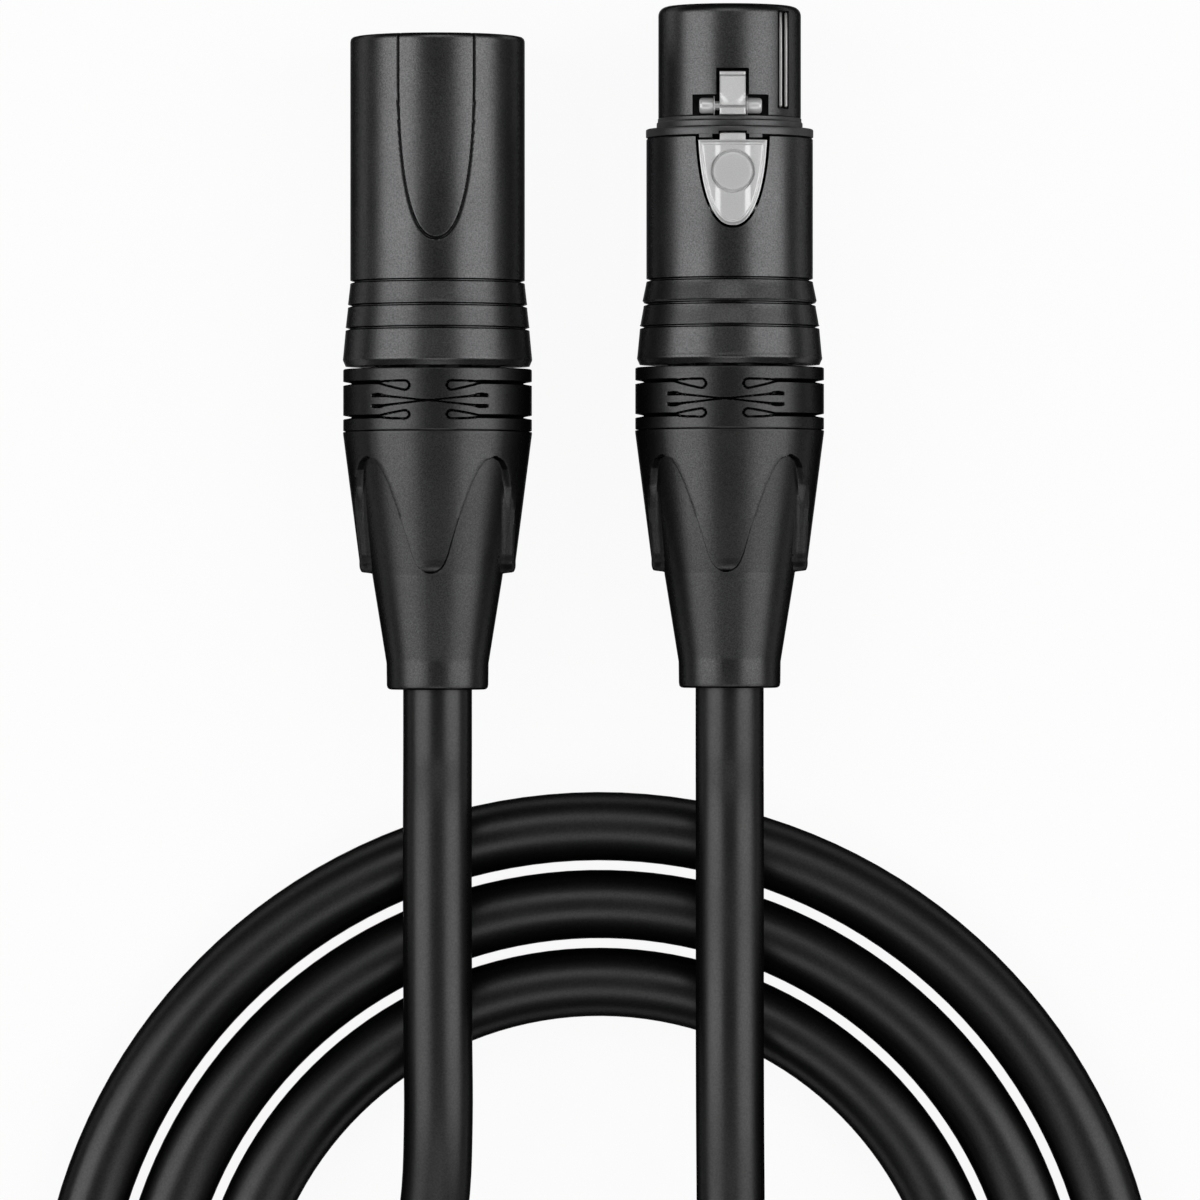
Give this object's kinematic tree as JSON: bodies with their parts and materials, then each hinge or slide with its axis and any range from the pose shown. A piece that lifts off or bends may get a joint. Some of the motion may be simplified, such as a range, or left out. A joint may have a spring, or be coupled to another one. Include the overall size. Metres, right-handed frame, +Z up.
{
  "type": "microphone cable",
  "caption": "Coiled microphone cable with a male and a female locking three-pole connector on its ends.",
  "frame": {"origin": "middle of the two connectors' outline, on the plane that they rest on", "axes": "+Z up from that plane, +Y from the boots towards the connectors' tips, +X from the male towards the female connector"},
  "size_m": [0.1237, 0.209, 0.0209],
  "materials": {
    "shell": "satin black coat",
    "flange": "matte",
    "boot": "matte, finely grained",
    "collar": "matte",
    "cord": "smooth satin jacket",
    "insert": "matte",
    "chuck": "matte",
    "contact": "plated",
    "latch": "satin cast",
    "pin": "bright",
    "spring": "bright drawn",
    "wire_screen": "bare tinned copper",
    "wire_red": "smooth",
    "wire_white": "smooth"
  },
  "bodies": {
    "cable": {"cable_coil": "cord", "cable_lead_female": "cord", "cable_lead_male": "cord", "female_boot": "boot", "female_cable_tail": "cord", "female_chuck": "chuck", "female_collar": "collar", "female_flange": "flange", "female_insert": "insert", "female_nose": "shell", "female_shell": "shell", "female_socket_1": "contact", "female_socket_2": "contact", "female_socket_3": "contact", "female_wire_1": "wire_screen", "female_wire_2": "wire_red", "female_wire_3": "wire_white", "ground_contact": "contact", "latch_pivot_pin": "pin", "latch_spring": "spring", "male_boot": "boot", "male_cable_tail": "cord", "male_chuck": "chuck", "male_collar": "collar", "male_insert": "insert", "male_pin_1": "contact", "male_pin_2": "contact", "male_pin_3": "contact", "male_shell": "shell", "male_wire_1": "wire_screen", "male_wire_2": "wire_red", "male_wire_3": "wire_white"},
    "latch": {"latch_lever": "latch", "latch_cross_pin": "pin"}
  },
  "joints": [
    {"name": "latch_press", "type": "hinge", "parent": "cable", "child": "latch", "pos_m": [0.0161, 0.01491, 0.01745], "axis": [-1, 0, 0], "range_deg": [0, 5], "stiffness_Nm_per_rad": 0.05, "springref_deg": -5.73, "deforming": ["latch_spring"]}
  ]
}
